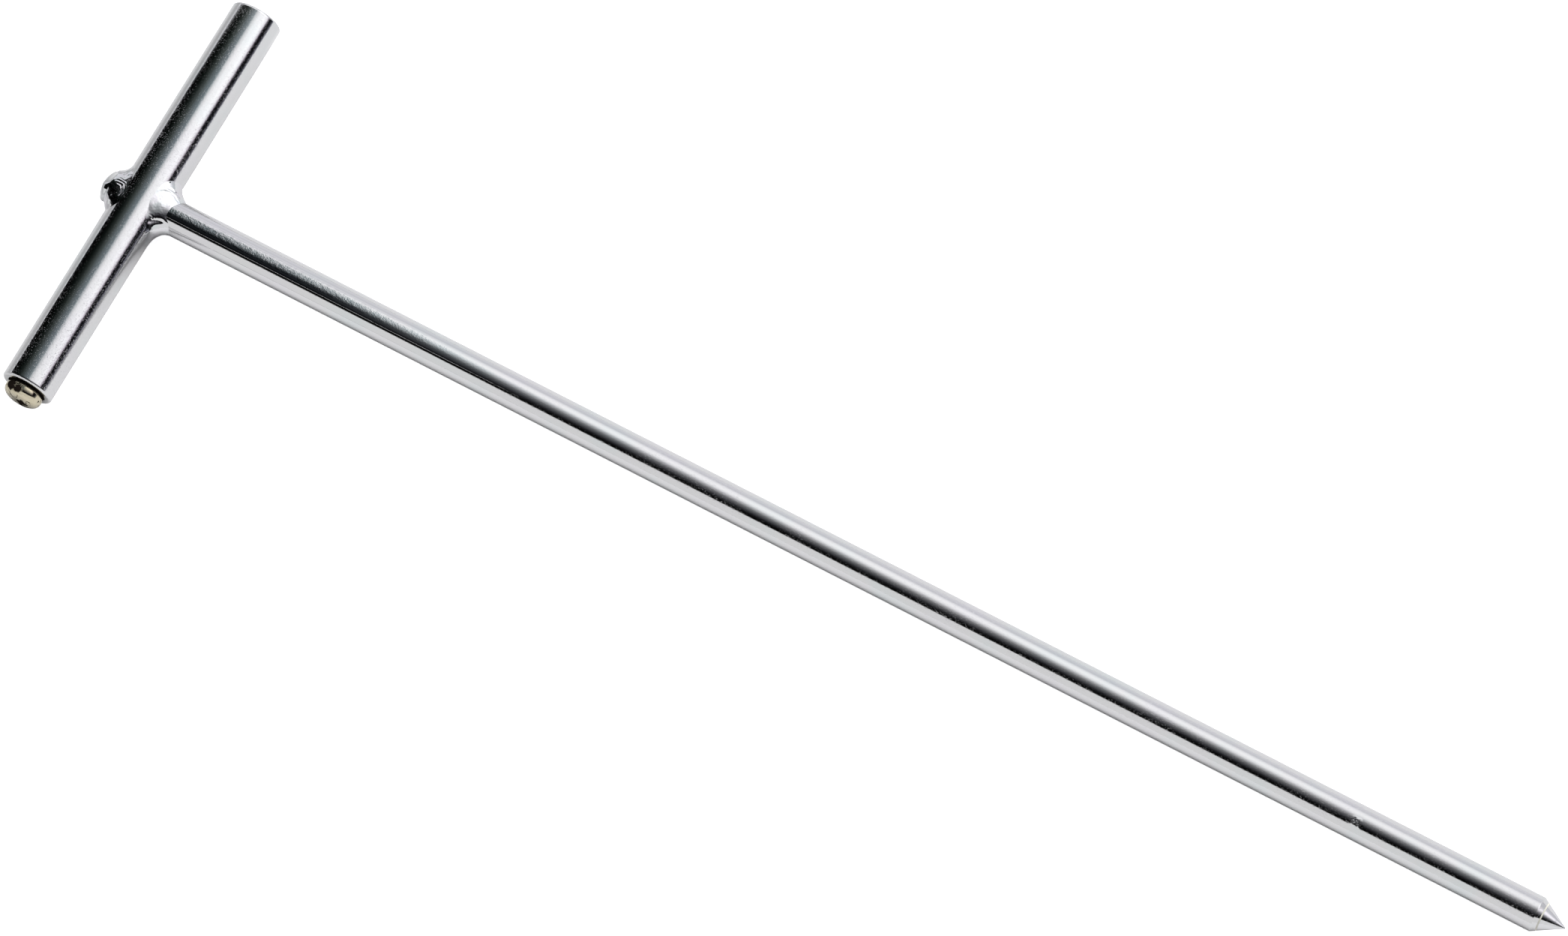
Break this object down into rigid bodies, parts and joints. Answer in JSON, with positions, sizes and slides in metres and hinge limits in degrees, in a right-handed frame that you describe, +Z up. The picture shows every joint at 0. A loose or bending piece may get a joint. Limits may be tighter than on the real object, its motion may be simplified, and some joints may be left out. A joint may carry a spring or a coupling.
{
  "type": "grain moisture probe",
  "caption": "Cross-handled steel spear with an insulated conical point, pushed into grain to read its moisture through a jack in the handle.",
  "frame": {"origin": "bottom centre of the whole spear's box, as it lies on a flat surface on its handle and the shoulder of its point", "axes": "+X from the handle to the point, along the surface; +Y along the handle, away from the capped end; +Z up. The shaft slopes down by 0.334 degrees towards the point"},
  "size_m": [0.7195, 0.2066, 0.024],
  "materials": {
    "plated_steel": "bright plating over drawn steel tube, with fine scratches",
    "weld_metal": "bright plating over smooth weld ripples",
    "point_steel": "bright plating, straw tint beside the insulating ring",
    "insulator_resin": "polished straw-coloured resin",
    "fastener_steel": "zinc plated",
    "contact_brass": "plain",
    "white_nylon": "plain",
    "lead_pvc": "flexible, satin",
    "lead_copper": "tinned copper strands",
    "black_rubber": "matt",
    "carrier_aluminium": "turned",
    "jack_nickel": "nickel plated brass",
    "cap_brass": "pale brass, tarnished and scratched"
  },
  "bodies": {
    "spear": {"handle_tube": "plated_steel", "shaft_tube": "plated_steel", "tail_plug": "plated_steel", "front_weld": "weld_metal", "tail_weld": "weld_metal", "far_end_plug": "plated_steel", "point": "point_steel", "point_insulator": "insulator_resin", "point_washer": "fastener_steel", "point_nut": "fastener_steel", "point_terminal": "contact_brass", "centring_bush": "white_nylon", "lead_sheath": "lead_pvc", "lead_conductor": "lead_copper", "lead_grommet": "black_rubber", "jack_carrier": "carrier_aluminium", "jack_barrel": "jack_nickel", "jack_insulator": "white_nylon", "jack_contact": "contact_brass", "jack_washer": "fastener_steel", "jack_nut": "jack_nickel"},
    "cap": {"end_cap": "cap_brass", "cap_seal": "black_rubber"}
  },
  "joints": [
    {"name": "cap_pull", "type": "slide", "parent": "spear", "child": "cap", "axis": [0, -1, 0], "range_m": [0, 0.06]}
  ]
}
